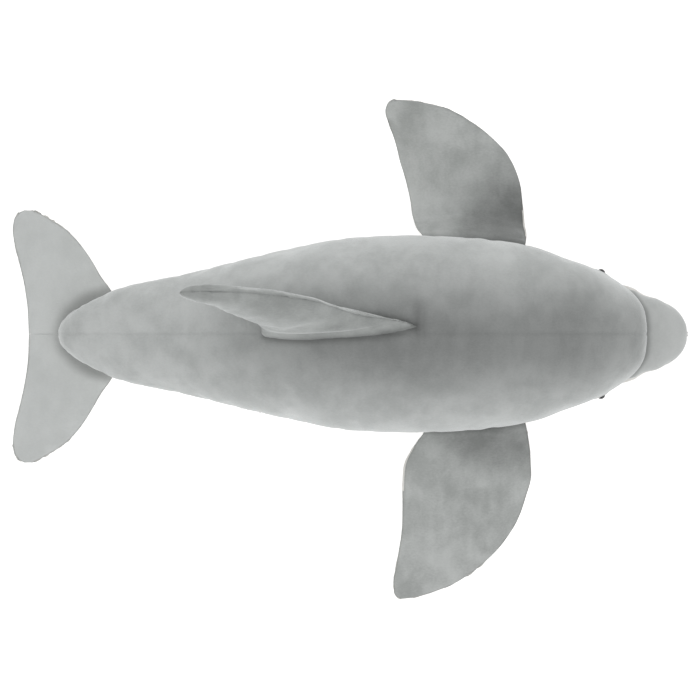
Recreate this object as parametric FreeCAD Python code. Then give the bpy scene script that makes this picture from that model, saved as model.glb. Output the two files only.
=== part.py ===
"""Large plush dolphin that lies on its belly, as separate panels, stuffing, eyes and stitches.

Row frame: +X towards the beak, +Y to the dolphin's left, +Z up, origin on the floor at the
middle of the belly's flat. Millimetres throughout.
"""

import FreeCAD
import Part
import math
import os

Vec = FreeCAD.Vector

# ---- driving dimensions -------------------------------------------------------------------
PLUSH = 3.0             # thickness of a panel: knit backing and short pile together
AIR = 0.3               # room between a panel and the stuffing behind it
FIN_AIR = 1.6           # the same, in the curved fins
SEAM_GAP = 0.4          # room between two panels along a fin's seam
JOINT_GAP = 0.6         # room between two soft solids that move past each other
FULLNESS = 2.25         # exponent of the body's superellipse sections
WIDEST_SHARE = 0.47     # height of the widest line, as a share of a section's height
SECTION_POINTS = 24     # points on each body section
FAR = 700.0             # reach of every cutting tool
LEFT = 1
RIGHT = -1

# Body stations from the tail tip to the melon: (x, half width, top, bottom before the floor flat)
BODY = [
    (-431.0, 6.0, 74.0, 62.0),
    (-427.0, 17.0, 86.0, 50.0),
    (-415.0, 30.0, 97.0, 38.0),
    (-396.0, 43.0, 107.0, 29.0),
    (-368.0, 56.0, 118.0, 22.0),
    (-338.0, 69.0, 129.0, 15.0),
    (-300.0, 77.5, 144.0, 8.0),
    (-250.0, 87.0, 164.0, -2.0),
    (-180.0, 105.0, 192.0, -9.0),
    (-90.0, 125.5, 220.0, -13.0),
    (0.0, 142.0, 237.0, -14.0),
    (80.0, 145.5, 242.0, -14.0),
    (180.0, 141.5, 240.0, -12.0),
    (260.0, 131.0, 231.0, -6.0),
    (320.0, 113.0, 217.0, 6.0),
    (370.0, 92.0, 198.0, 19.0),
    (404.0, 71.5, 176.0, 38.0),
    (424.0, 53.0, 156.0, 58.0),
    (434.5, 33.0, 138.0, 80.0),
    (438.5, 8.0, 117.0, 102.0),
]

# Beak stations, from inside the head to the tip: (x, half width, top, bottom)
BEAK = [
    (368.0, 60.0, 108.0, 46.0),
    (386.0, 69.0, 112.0, 39.0),
    (402.0, 73.0, 113.0, 36.0),
    (420.0, 68.5, 110.0, 36.0),
    (436.0, 59.0, 106.0, 38.0),
    (452.0, 54.5, 101.0, 41.0),
    (467.0, 47.5, 97.0, 45.0),
    (481.0, 38.5, 92.0, 49.0),
    (491.0, 27.5, 87.0, 54.0),
    (497.5, 15.0, 80.0, 60.0),
    (500.0, 5.0, 72.0, 67.0),
]

# Mouth line, between the grey top and the white underside of the beak: (x, height)
MOUTH = [(330.0, 100.0), (395.0, 92.0), (425.0, 79.0), (455.0, 72.0), (510.0, 70.0)]

# Side seam between the grey back and the white belly: (x, height)
SIDE_SEAM = [
    (-450.0, 66.0), (-350.0, 60.0), (-200.0, 72.0), (0.0, 84.0), (113.0, 74.0),
    (188.0, 71.5), (263.0, 74.0), (320.0, 82.0), (380.0, 80.0), (450.0, 72.0),
]

# Tail bend: the hinge's place and how far the tail lifts and drops
BEND_X = -285.0
BEND_Z = 118.0
BEND_UP = 12.0
BEND_DOWN = 3.0

# Rolled seams that the dorsal and pectoral fins swing on
BEAD_R = 3.2
BEAD_TAB = 2.8          # thickness of the tab that joins a bead to the body
BEAD_TAB_REACH = 15.0
FIN_START = 4.2         # from a bead's axis to the fin's sewn edge

SEAM_WIDTH = 8.0        # doubled cloth along a fin's edge

# Pectoral fins: the bead's rear and front ends on the left side, and each fin's stations
# (distance from the root, trailing edge, leading edge, thickness), edges measured along the bead.
# Both fins are cut alike: the left one lies folded, which draws its outline in.
PECTORAL_REAR = Vec(113.0, 145.0, 72.0)
PECTORAL_FRONT = Vec(263.0, 133.0, 72.0)
PECTORAL = {
    LEFT: [
        (0.0, -6.0, 147.0, 7.0),
        (19.0, -13.5, 148.0, 16.0),
        (47.0, -20.0, 144.0, 25.0),
        (78.0, -25.5, 141.0, 28.0),
        (108.0, -34.5, 139.0, 27.0),
        (139.0, -46.0, 129.0, 25.0),
        (169.0, -56.0, 112.0, 22.0),
        (196.0, -68.0, 81.0, 18.0),
        (217.0, -74.0, 46.0, 14.0),
        (231.0, -71.0, 10.0, 10.0),
        (237.0, -64.0, -24.0, 7.0),
    ],
    RIGHT: [
        (0.0, -5.0, 148.0, 7.0),
        (20.0, -21.0, 150.0, 16.0),
        (50.0, -36.0, 152.0, 25.0),
        (82.0, -40.5, 151.0, 28.0),
        (114.0, -43.0, 140.0, 27.0),
        (146.0, -46.0, 126.0, 25.0),
        (178.0, -53.0, 103.0, 22.0),
        (206.0, -60.0, 73.0, 18.0),
        (228.0, -65.0, 39.0, 14.0),
        (243.0, -65.0, 0.0, 10.0),
        (251.0, -58.0, -38.0, 7.0),
    ],
}
# How each fin lies: degrees that it runs down, and degrees that its front edge is turned up,
# by distance from the root
DROOP = {
    LEFT: [(0.0, 68.0), (45.0, 54.0), (100.0, 4.0), (237.0, -38.0)],
    RIGHT: [(0.0, 31.0), (60.0, 21.6), (190.0, 5.2), (251.0, 0.8)],
}
TURN_UP = {
    LEFT: [(0.0, 0.0), (47.0, 2.5), (78.0, 9.5), (115.0, 12.3), (165.0, 8.5), (237.0, 0.0)],
    RIGHT: [(0.0, 0.0), (50.0, -4.0), (130.0, 0.0), (251.0, 0.0)],
}

# Dorsal fin: its seam's ends, and its stations (height above the bead, rear x, front x, thickness)
DORSAL_LEAN = 25.5      # degrees towards the dolphin's left
DORSAL_REAR = (-129.0, 1.0)
DORSAL_FRONT = (94.0, 16.0)
DORSAL = [
    (0.0, -129.0, 85.0, 7.0),
    (12.0, -129.5, 63.0, 24.0),
    (27.0, -134.0, 27.0, 34.0),
    (52.0, -157.0, -6.0, 35.0),
    (74.0, -176.0, -29.0, 33.0),
    (92.0, -191.0, -54.0, 31.0),
    (108.0, -206.0, -84.0, 29.0),
    (122.0, -223.0, -118.0, 26.0),
    (135.0, -241.0, -154.0, 25.0),
    (145.0, -246.5, -197.0, 21.0),
    (150.0, -246.0, -228.0, 13.0),
]

# Tail fluke: (distance from the middle, trailing x, leading x, thickness)
FLUKE = [
    (0.0, -476.0, -340.0, 30.0),
    (32.0, -477.0, -343.0, 30.0),
    (62.0, -480.5, -352.0, 28.0),
    (86.0, -485.0, -369.0, 26.0),
    (110.0, -491.0, -383.0, 24.0),
    (134.0, -497.0, -399.0, 21.0),
    (157.0, -499.5, -420.0, 17.0),
    (172.0, -498.0, -442.0, 13.5),
    (182.0, -492.0, -460.0, 10.0),
    (187.0, -484.0, -471.0, 7.0),
]
FLUKE_SPREAD = {LEFT: 0.985, RIGHT: 1.02}
FLUKE_MID_Z = 15.5
FLUKE_TIP_Z = 8.5
FLAP_Y = 62.0           # where a lobe flaps, up and down
FLAP_Z = 24.0
FLAP_UP = 20.0
FLAP_DOWN = 5.0

# Eyes: safety eyes of 12 mm, with a shank through the panel and a washer behind it
EYE_INNER = Vec(352.5, 40.0, 108.0)     # a point on the left eye's axis, inside the head
EYE_R = 6.2
EYE_RISE = 4.6
EYE_TILT = 20.0         # degrees that the eye looks forward
SHANK_R = 2.2
SHANK_LENGTH = 16.0
WASHER_R = 9.0
WASHER_THICK = 1.6

# Closing seam and care label
STITCH_R = 0.9
STITCH_LENGTH = 7.0
STITCH_PITCH = 9.0
STITCH_COUNT = 14
STITCH_FIRST_X = -160.0
LABEL_LENGTH = 34.0
LABEL_WIDTH = 24.0
LABEL_THICK = 0.8


# ---- small helpers ------------------------------------------------------------------------
def export(name, shape):
    """Writes a node's solids, and stops on anything that is not a closed valid solid."""
    solids = [s for s in shape.Solids if s.Volume > 1.0]
    if not solids:
        raise ValueError(name + " has no solid")
    for solid in solids:
        if not solid.isValid():
            raise ValueError(name + " is not valid")
    out = solids[0] if len(solids) == 1 else Part.makeCompound(solids)
    out.exportStep("parts/" + name + ".step")
    box = out.BoundBox
    print("%-28s %d solid(s) %9.0f mm3  x %.0f..%.0f  y %.0f..%.0f  z %.1f..%.1f" % (
        name, len(solids), out.Volume, box.XMin, box.XMax, box.YMin, box.YMax, box.ZMin, box.ZMax))


def loft(wires):
    return Part.makeLoft(wires, True, False)


def spline(points):
    curve = Part.BSplineCurve()
    curve.interpolate(points)
    return curve.toShape()


def box_between(low, high):
    return Part.makeBox(high.x - low.x, high.y - low.y, high.z - low.z, low)


def signed_power(value, exponent):
    return math.copysign(abs(value) ** exponent, value)


def interpolate(table, at, column):
    """Straight-line value of a station table's column."""
    rows = sorted(table)
    for low, high in zip(rows, rows[1:]):
        if low[0] <= at <= high[0]:
            share = (at - low[0]) / (high[0] - low[0])
            return low[column] + share * (high[column] - low[column])
    return rows[0][column] if at < rows[0][0] else rows[-1][column]


# ---- body of revolution-like sections -----------------------------------------------------
def ring(x, half_width, top, bottom, inset):
    """A closed superellipse section in the plane of that x, drawn in by inset."""
    middle = bottom + WIDEST_SHARE * (top - bottom)
    points = []
    for k in range(SECTION_POINTS):
        turn = 2.0 * math.pi * k / SECTION_POINTS
        across = signed_power(math.cos(turn), 2.0 / FULLNESS)
        up = signed_power(math.sin(turn), 2.0 / FULLNESS)
        reach = (top - middle if up >= 0 else middle - bottom) - inset
        points.append(Vec(x, (half_width - inset) * across, middle + reach * up))
    curve = Part.BSplineCurve()
    curve.interpolate(points, PeriodicFlag=True)
    return Part.Wire([curve.toShape()])


def tube(stations, inset, floor=None):
    """The solid through the stations, drawn in by inset all round and cut flat at the floor."""
    first, last = stations[0][0], stations[-1][0]
    middle_x = 0.5 * (first + last)
    squeeze = 1.0 - 2.0 * inset / (last - first)
    wires = []
    for x, half_width, top, bottom in stations:
        drawn = min(inset, 0.45 * half_width, 0.45 * 0.5 * (top - bottom))
        wires.append(ring(middle_x + (x - middle_x) * squeeze, half_width, top, bottom, drawn))
    solid = loft(wires)
    if floor is None:
        return solid
    return solid.common(box_between(Vec(-FAR, -FAR, floor), Vec(FAR, FAR, FAR)))


def biggest(shape):
    return max(shape.Solids, key=lambda solid: solid.Volume)


def below_line(points):
    """Everything under a smooth line drawn in XZ, across the whole width."""
    ends = [Vec(x, -FAR, z) for x, z in points]
    top = spline(ends)
    first, last = ends[0], ends[-1]
    deep = [Vec(last.x, -FAR, -FAR), Vec(first.x, -FAR, -FAR)]
    sides = [Part.makeLine(last, deep[0]), Part.makeLine(deep[0], deep[1]), Part.makeLine(deep[1], first)]
    return Part.Face(Part.Wire([top] + sides)).extrude(Vec(0, 2.0 * FAR, 0))


def wedge(at, across, axis, opens_up, opens_down):
    """The room round a hinge axis: two planes that open upwards and downwards from it."""
    up = FAR * math.tan(math.radians(opens_up))
    down = FAR * math.tan(math.radians(opens_down))
    half = 0.5 * JOINT_GAP
    corners = [(half, 0), (half + up, FAR), (-half - up, FAR),
               (-half, 0), (-half - down, -FAR), (half + down, -FAR)]
    points = [at + across * u + Vec(0, 0, v) - axis * FAR for u, v in corners]
    return Part.Face(Part.makePolygon(points + points[:1])).extrude(axis * (2.0 * FAR))


def bend_room():
    up, down = 0.5 * BEND_UP + 0.3, 0.5 * BEND_DOWN + 0.3
    return wedge(Vec(BEND_X, 0, BEND_Z), Vec(1, 0, 0), Vec(0, 1, 0), up, down)


def flap_rooms():
    return [wedge(Vec(0, side * FLAP_Y, FLAP_Z), Vec(0, 1, 0), Vec(1, 0, 0),
                  0.5 * FLAP_UP + 0.5, 0.5 * FLAP_DOWN + 0.5) for side in (LEFT, RIGHT)]


# ---- lens sections for fins ---------------------------------------------------------------
def lens_points(origin, chord, normal, start, end, thick):
    """The two edge points and the two crown points of a lens section."""
    middle = origin + chord * (0.5 * (start + end))
    return (origin + chord * start, origin + chord * end,
            middle + normal * (0.5 * thick), middle - normal * (0.5 * thick))


def lens_wire(section, edge_inset, face_inset):
    """A whole lens, drawn in from its edges and its faces."""
    origin, chord, normal, start, end, thick = section
    a, b, top, low = lens_points(origin, chord, normal, start + edge_inset, end - edge_inset,
                                 max(thick - 2.0 * face_inset, 0.5))
    return Part.Wire([Part.Arc(a, top, b).toShape(), Part.Arc(b, low, a).toShape()])


def crescent_wire(section, side):
    """The cloth on one side of a lens: outer arc, inner arc and the two seam edges."""
    origin, chord, normal, start, end, thick = section
    origin = origin + normal * (0.5 * SEAM_GAP * side)
    a, b, top, low = lens_points(origin, chord, normal, start, end, thick)
    edge = min(SEAM_WIDTH, 0.25 * (end - start))
    hollow = max(thick - 2.0 * PLUSH, 1.0)
    c, d, inner_top, inner_low = lens_points(origin, chord, normal, start + edge, end - edge, hollow)
    outer, inner = (top, inner_top) if side > 0 else (low, inner_low)
    return Part.Wire([Part.Arc(a, outer, b).toShape(), Part.makeLine(b, d),
                      Part.Arc(d, inner, c).toShape(), Part.makeLine(c, a)])


def pillow(sections):
    """The two panels and the stuffing of a fin, from its lens sections."""
    upper = loft([crescent_wire(s, 1) for s in sections])
    lower = loft([crescent_wire(s, -1) for s in sections])
    inner = []
    for section in sections:
        thick = section[5]
        edge = min(SEAM_WIDTH, 0.25 * (section[4] - section[3])) + 3.0 * FIN_AIR
        hollow = max(thick - 2.0 * PLUSH, 1.0)
        inner.append(lens_wire(section, edge, 0.5 * (thick - hollow) + FIN_AIR))
    lower = biggest(lower.cut(upper))
    fill = biggest(loft(inner).cut([upper, lower]))
    return upper, lower, fill


# ---- rolled seams -------------------------------------------------------------------------
def bead(start, end, inward, body):
    """A rolled seam from start to end, with a tab that reaches inward to the body."""
    run = end - start
    roll = Part.makeCylinder(BEAD_R, run.Length, start, run)
    side = run.cross(inward).normalize() * (0.5 * BEAD_TAB)
    corners = [start - side, start + side, end + side, end - side]
    tab = Part.Face(Part.makePolygon(corners + corners[:1])).extrude(inward * BEAD_TAB_REACH)
    return roll.cut(body).fuse(tab.cut(body)).removeSplitter()


# ---- pectoral fins ------------------------------------------------------------------------
def bead_ends(side):
    return [Vec(end.x, side * end.y, end.z) for end in (PECTORAL_REAR, PECTORAL_FRONT)]


def pectoral_sections(side):
    """Lens sections of a fin, laid out along its droop and turned up about their trailing edges."""
    rear, front = bead_ends(side)
    chord = (front - rear).normalize()
    up = Vec(0, 0, 1)
    outward = up.cross(chord) * side
    slope = math.radians(DROOP[side][0][1])
    place = rear + (outward * math.cos(slope) - up * math.sin(slope)) * FIN_START
    done = 0.0
    sections = []
    for distance, trailing, leading, thick in PECTORAL[side]:
        steps = 8
        step = (distance - done) / steps
        for k in range(steps):
            slope = math.radians(interpolate(DROOP[side], done + (k + 0.5) * step, 1))
            place = place + (outward * math.cos(slope) - up * math.sin(slope)) * step
        done = distance
        slope = math.radians(interpolate(DROOP[side], distance, 1))
        turn = math.radians(interpolate(TURN_UP[side], distance, 1))
        normal = up * math.cos(slope) + outward * math.sin(slope)
        turned = chord * math.cos(turn) + normal * math.sin(turn)
        face = normal * math.cos(turn) - chord * math.sin(turn)
        sections.append((place + chord * trailing, turned, face, 0.0, leading - trailing, thick))
    return sections


# ---- dorsal fin ---------------------------------------------------------------------------
def dorsal_bead_ends():
    """The straight seam line that just clears the arched back under it."""
    ends = [(x, y, interpolate(BODY, x, 2)) for x, y in (DORSAL_REAR, DORSAL_FRONT)]
    slope = (ends[1][2] - ends[0][2]) / (ends[1][0] - ends[0][0])
    arch = max(top - ends[0][2] - slope * (x - ends[0][0])
               for x, half_width, top, bottom in BODY if ends[0][0] < x < ends[1][0])
    return [Vec(x, y, z + arch) for x, y, z in ends]


def dorsal_axes():
    """Directions along the seam, up the leaning fin, and square to the fin's left face."""
    rear, front = dorsal_bead_ends()
    along = (front - rear).normalize()
    left = Vec(0, 0, 1).cross(along).normalize()
    plumb = along.cross(left)
    lean = math.radians(DORSAL_LEAN)
    rise = plumb * math.cos(lean) + left * math.sin(lean)
    return along, rise, rise.cross(along)


def dorsal_sections():
    rear = dorsal_bead_ends()[0]
    along, rise, face = dorsal_axes()
    sections = []
    for height, low, high, thick in DORSAL:
        foot = rear + rise * (FIN_START + height)
        sections.append((foot, along, face, low - foot.x, high - foot.x, thick))
    return sections


# ---- fluke --------------------------------------------------------------------------------
def fluke_sections():
    """Lens sections from the right tip through the middle to the left tip."""
    out = []
    rows = [(-y * FLUKE_SPREAD[RIGHT], a, b, t) for y, a, b, t in reversed(FLUKE[1:])]
    rows += [(y * FLUKE_SPREAD[LEFT], a, b, t) for y, a, b, t in FLUKE]
    for y, trailing, leading, thick in rows:
        share = max(0.0, abs(y) - FLAP_Y) / (FLUKE[-1][0] - FLAP_Y)
        z = FLUKE_MID_Z + share * (FLUKE_TIP_Z - FLUKE_MID_Z)
        out.append((Vec(0, y, z), Vec(1, 0, 0), Vec(0, 0, 1), trailing, leading, thick))
    return out


def in_three(solid):
    """Left lobe, centre and right lobe of a fluke solid."""
    pieces = solid.cut(flap_rooms()).Solids
    return sorted(pieces, key=lambda piece: -piece.CenterOfMass.y)


# ---- eyes ---------------------------------------------------------------------------------
def eye_axis(side):
    tilt = math.radians(EYE_TILT)
    return Vec(math.sin(tilt), side * math.cos(tilt), 0)


def eye_seat(side, body):
    """The point where an eye's axis leaves the head."""
    axis = eye_axis(side)
    inside = Vec(EYE_INNER.x, side * EYE_INNER.y, EYE_INNER.z)
    line = Part.makeLine(inside, inside + axis * 120.0)
    hit = line.common(body)
    far = max((v.Point for v in hit.Vertexes), key=lambda p: (p - inside).Length)
    return far


def eye(side, body):
    """Dome, flange and shank, moulded in one."""
    axis = eye_axis(side)
    seat = eye_seat(side, body)
    ball_r = (EYE_R ** 2 + EYE_RISE ** 2) / (2.0 * EYE_RISE)
    ball = Part.makeSphere(ball_r, seat + axis * (EYE_RISE - ball_r))
    keep = Part.makeCylinder(EYE_R, EYE_RISE + 1.0, seat, axis)
    flange = Part.makeCylinder(EYE_R, PLUSH * 0.6, seat - axis * (PLUSH * 0.6), axis)
    shank = Part.makeCylinder(SHANK_R, SHANK_LENGTH, seat - axis * SHANK_LENGTH, axis)
    return ball.common(keep).fuse([flange, shank]).removeSplitter()


def eye_washer(side, body):
    axis = eye_axis(side)
    seat = eye_seat(side, body) - axis * (PLUSH + 2.2 + WASHER_THICK)
    disc = Part.makeCylinder(WASHER_R, WASHER_THICK, seat, axis)
    return disc.cut(Part.makeCylinder(SHANK_R + 0.05, 3 * WASHER_THICK, seat - axis * WASHER_THICK, axis))


def eye_room(side, body):
    """What an eye takes out of the head: its flange, shank and washer."""
    axis = eye_axis(side)
    seat = eye_seat(side, body)
    flange = Part.makeCylinder(EYE_R + 0.1, PLUSH * 0.6 + 20.1, seat - axis * (PLUSH * 0.6 + 0.1), axis)
    shank = Part.makeCylinder(SHANK_R + 0.1, SHANK_LENGTH + 1.0, seat - axis * (SHANK_LENGTH + 1.0), axis)
    back = seat - axis * (PLUSH + 2.4 + WASHER_THICK)
    washer = Part.makeCylinder(WASHER_R + 0.3, WASHER_THICK + 0.4, back, axis)
    return flange.fuse([shank, washer])


# ---- closing seam and label ---------------------------------------------------------------
def closing_stitches(body):
    """A row of hand stitches over the side seam, on the right, where the toy was filled."""
    rows = []
    for k in range(STITCH_COUNT):
        x = STITCH_FIRST_X + k * STITCH_PITCH
        z = interpolate(SIDE_SEAM, x, 1)
        line = Part.makeLine(Vec(x, 0, z), Vec(x, -FAR, z)).common(body)
        y = min(v.Point.y for v in line.Vertexes)
        foot = Vec(x, y, z - 0.5 * STITCH_LENGTH)
        thread = Part.makeCylinder(STITCH_R, STITCH_LENGTH, foot, Vec(0.25, 0, 1))
        rows += thread.cut(body).Solids
    return Part.makeCompound(rows)


def care_label():
    """A blank woven label, sewn in under the tail stock and lying back along it."""
    label = Part.makeBox(LABEL_LENGTH, LABEL_WIDTH, LABEL_THICK)
    label.translate(Vec(0, -0.5 * LABEL_WIDTH, 0))
    label.rotate(Vec(0, 0, 0), Vec(0, 1, 0), 6.0)
    label.translate(Vec(FLUKE[0][2] + 1.0, 0, FLUKE_MID_Z - 6.0))
    return label


# ---- the whole toy ------------------------------------------------------------------------
def main():
    os.makedirs("parts", exist_ok=True)
    outer = tube(BODY, 0.0, 0.0)
    inner = tube(BODY, PLUSH, PLUSH)
    filling = tube(BODY, PLUSH + AIR, PLUSH + AIR)
    beak_outer = tube(BEAK, 0.0)
    beak_inner = tube(BEAK, PLUSH)
    beak_filling = tube(BEAK, PLUSH + AIR)
    gap = bend_room()

    def parted(solid):
        """Trunk part and tail part of a body solid."""
        pieces = solid.cut(gap).Solids
        trunk = [s for s in pieces if s.CenterOfMass.x > BEND_X]
        tail = [s for s in pieces if s.CenterOfMass.x <= BEND_X]
        return Part.makeCompound(trunk), Part.makeCompound(tail)

    rooms = [eye_room(side, outer) for side in (LEFT, RIGHT)]
    skin = outer.cut(inner).cut(rooms + [beak_inner])
    low_side = below_line(SIDE_SEAM)
    left_half = box_between(Vec(-FAR, 0, -FAR), Vec(FAR, FAR, FAR))
    back = skin.cut(low_side)
    seat = loft([lens_wire(s, -SEAM_GAP, -SEAM_GAP) for s in fluke_sections()])

    belly_trunk, belly_tail = parted(skin.common(low_side))
    left_trunk, left_tail = parted(back.common(left_half))
    right_trunk, right_tail = parted(back.cut(left_half))
    fill_trunk, fill_tail = parted(filling.cut(rooms))
    export("back_panel_left", left_trunk)
    export("back_panel_right", right_trunk)
    export("belly_panel", belly_trunk)
    export("trunk_stuffing", fill_trunk)
    export("tail_panel_left", left_tail.cut(seat))
    export("tail_panel_right", right_tail.cut(seat))
    export("tail_belly_panel", belly_tail.cut(seat))
    export("tail_stuffing", fill_tail.cut(seat))

    beak_body = beak_outer.cut(outer)
    jaw_side = below_line(MOUTH)
    export("beak_upper_panel", beak_body.cut(jaw_side).cut(beak_inner))
    export("beak_lower_panel", beak_body.common(jaw_side).cut(beak_inner))
    export("beak_stuffing", beak_filling.cut(filling))

    upper, lower, fill = [in_three(s) for s in pillow(fluke_sections())]
    for k, word in enumerate(("lobe_left", "centre", "lobe_right")):
        export("fluke_%s_top" % word, upper[k])
        export("fluke_%s_underside" % word, lower[k])
        export("fluke_%s_stuffing" % word, fill[k])

    for side, word in ((LEFT, "left"), (RIGHT, "right")):
        export("eye_" + word, eye(side, outer))
        export("eye_washer_" + word, eye_washer(side, outer))
        upper, lower, fill = pillow(pectoral_sections(side))
        export("pectoral_top_" + word, upper)
        export("pectoral_underside_" + word, lower)
        export("pectoral_stuffing_" + word, fill)
        rear, front = bead_ends(side)
        export("pectoral_root_seam_" + word, bead(rear, front, Vec(0, -side, 0), outer))

    left_face, right_face, fill = pillow(dorsal_sections())
    export("dorsal_panel_left", left_face)
    export("dorsal_panel_right", right_face)
    export("dorsal_stuffing", fill)
    rear, front = dorsal_bead_ends()
    export("dorsal_root_seam", bead(rear, front, Vec(0, 0, -1), outer))

    export("closing_stitches", closing_stitches(outer))
    export("care_label", care_label())


main()
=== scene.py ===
"""Looks of the large plush dolphin: stuffed panels, pinched seams, brushed pile and glossy eyes."""

import math

import bmesh
import bpy
import numpy as np
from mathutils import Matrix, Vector, kdtree, noise
from mathutils.bvhtree import BVHTree


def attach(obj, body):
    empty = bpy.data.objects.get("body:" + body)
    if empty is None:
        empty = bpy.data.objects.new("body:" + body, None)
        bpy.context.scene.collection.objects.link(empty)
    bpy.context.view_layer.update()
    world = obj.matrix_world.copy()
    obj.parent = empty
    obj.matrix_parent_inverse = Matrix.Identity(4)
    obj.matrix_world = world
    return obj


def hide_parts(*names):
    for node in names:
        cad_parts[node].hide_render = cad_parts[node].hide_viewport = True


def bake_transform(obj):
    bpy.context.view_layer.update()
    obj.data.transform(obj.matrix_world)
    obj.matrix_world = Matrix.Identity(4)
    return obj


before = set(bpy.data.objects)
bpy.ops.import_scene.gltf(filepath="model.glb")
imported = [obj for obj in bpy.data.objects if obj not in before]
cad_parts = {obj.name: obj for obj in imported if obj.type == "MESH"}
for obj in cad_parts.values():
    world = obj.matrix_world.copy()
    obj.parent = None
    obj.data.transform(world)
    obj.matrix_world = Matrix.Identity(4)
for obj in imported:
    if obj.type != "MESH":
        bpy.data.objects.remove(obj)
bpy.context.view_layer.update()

MM = 0.001
LEFT = 1
RIGHT = -1
SIDES = ((LEFT, "left"), (RIGHT, "right"))

# ---- shape of the toy, in millimetres as in the CAD model -------------------------------------
FULLNESS = 2.25         # exponent of the body's and the beak's sections: 2 is an ellipse
WIDEST_SHARE = 0.47     # how far up a section it is widest

# Rows: x, half width, top, bottom.
BODY = [
    (-431.0, 6.0, 74.0, 62.0),
    (-427.0, 17.0, 86.0, 50.0),
    (-415.0, 30.0, 97.0, 38.0),
    (-396.0, 43.0, 107.0, 29.0),
    (-368.0, 56.0, 118.0, 22.0),
    (-338.0, 69.0, 129.0, 15.0),
    (-300.0, 77.5, 144.0, 8.0),
    (-250.0, 87.0, 164.0, -2.0),
    (-180.0, 105.0, 192.0, -9.0),
    (-90.0, 125.5, 220.0, -13.0),
    (0.0, 142.0, 237.0, -14.0),
    (80.0, 145.5, 242.0, -14.0),
    (180.0, 141.5, 240.0, -12.0),
    (260.0, 131.0, 231.0, -6.0),
    (320.0, 113.0, 217.0, 6.0),
    (370.0, 92.0, 198.0, 19.0),
    (404.0, 71.5, 176.0, 38.0),
    (424.0, 53.0, 156.0, 58.0),
    (434.5, 33.0, 138.0, 80.0),
    (438.5, 8.0, 117.0, 102.0),
]

# Rows: x, height of the seam.
SIDE_SEAM = [
    (-450.0, 66.0), (-350.0, 60.0), (-200.0, 72.0), (0.0, 84.0), (113.0, 74.0),
    (188.0, 71.5), (263.0, 74.0), (320.0, 82.0), (380.0, 80.0), (450.0, 72.0),
]

# Rows: x, half width, top, bottom.
BEAK = [
    (386.0, 69.0, 112.0, 39.0),
    (402.0, 73.0, 113.0, 36.0),
    (420.0, 68.5, 110.0, 36.0),
    (436.0, 59.0, 106.0, 38.0),
    (452.0, 54.5, 101.0, 41.0),
    (467.0, 47.5, 97.0, 45.0),
    (481.0, 38.5, 92.0, 49.0),
    (491.0, 27.5, 87.0, 54.0),
    (497.5, 15.0, 80.0, 60.0),
    (500.0, 5.0, 72.0, 67.0),
]

# Rows: x, height of the seam between the grey beak top and the white jaw.
MOUTH = [(330.0, 100.0), (395.0, 92.0), (425.0, 79.0), (455.0, 72.0), (510.0, 70.0)]

# The ends of the pectoral fins' root seams, for the left fin.
PECTORAL_REAR = (113.0, 145.0, 72.0)
PECTORAL_FRONT = (263.0, 133.0, 72.0)

# Rows: distance along the fin, trailing edge and leading edge along the root, thickness.
PECTORAL = {
    LEFT: [
        (0.0, -6.0, 147.0, 7.0),
        (19.0, -13.5, 148.0, 16.0),
        (47.0, -20.0, 144.0, 25.0),
        (78.0, -25.5, 141.0, 28.0),
        (108.0, -34.5, 139.0, 27.0),
        (139.0, -46.0, 129.0, 25.0),
        (169.0, -56.0, 112.0, 22.0),
        (196.0, -68.0, 81.0, 18.0),
        (217.0, -74.0, 46.0, 14.0),
        (231.0, -71.0, 10.0, 10.0),
        (237.0, -64.0, -24.0, 7.0),
    ],
    RIGHT: [
        (0.0, -5.0, 148.0, 7.0),
        (20.0, -21.0, 150.0, 16.0),
        (50.0, -36.0, 152.0, 25.0),
        (82.0, -40.5, 151.0, 28.0),
        (114.0, -43.0, 140.0, 27.0),
        (146.0, -46.0, 126.0, 25.0),
        (178.0, -53.0, 103.0, 22.0),
        (206.0, -60.0, 73.0, 18.0),
        (228.0, -65.0, 39.0, 14.0),
        (243.0, -65.0, 0.0, 10.0),
        (251.0, -58.0, -38.0, 7.0),
    ],
}

# Rows: distance along the fin, how many degrees it slopes down there.
DROOP = {
    LEFT: [(0.0, 68.0), (45.0, 54.0), (100.0, 4.0), (237.0, -38.0)],
    RIGHT: [(0.0, 31.0), (60.0, 21.6), (190.0, 5.2), (251.0, 0.8)],
}

# Rows: distance along the fin, how many degrees its leading edge is turned up there.
TURN_UP = {
    LEFT: [(0.0, 0.0), (47.0, 2.5), (78.0, 9.5), (115.0, 12.3), (165.0, 8.5), (237.0, 0.0)],
    RIGHT: [(0.0, 0.0), (50.0, -4.0), (130.0, 0.0), (251.0, 0.0)],
}

FIN_START = 4.2         # from a fin's root seam to its first station
PECTORAL_ROOT_REACH = 20.0      # up to here a pectoral fin is at least as thick as the next line says
PECTORAL_ROOT_THICK = 11.0

# Rings inside the body, which hide a fin's open end. Rows: depth, start, end, thickness.
PECTORAL_INSIDE = ((14.0, 2.0, 146.0, 8.0), (6.0, 2.0, 146.0, 9.0))
DORSAL_INSIDE = ((14.0, 4.0, 227.0, 26.0), (5.0, 1.0, 220.0, 21.0))

DORSAL_LEAN = 25.5
DORSAL_REAR = (-129.0, 1.0, 217.4)
DORSAL_FRONT = (94.0, 16.0, 251.3)
DORSAL_ROOT_REACH = 12.0
DORSAL_ROOT_THICK = 19.0
DORSAL_ROOT_TAPER = 0.2

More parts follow.
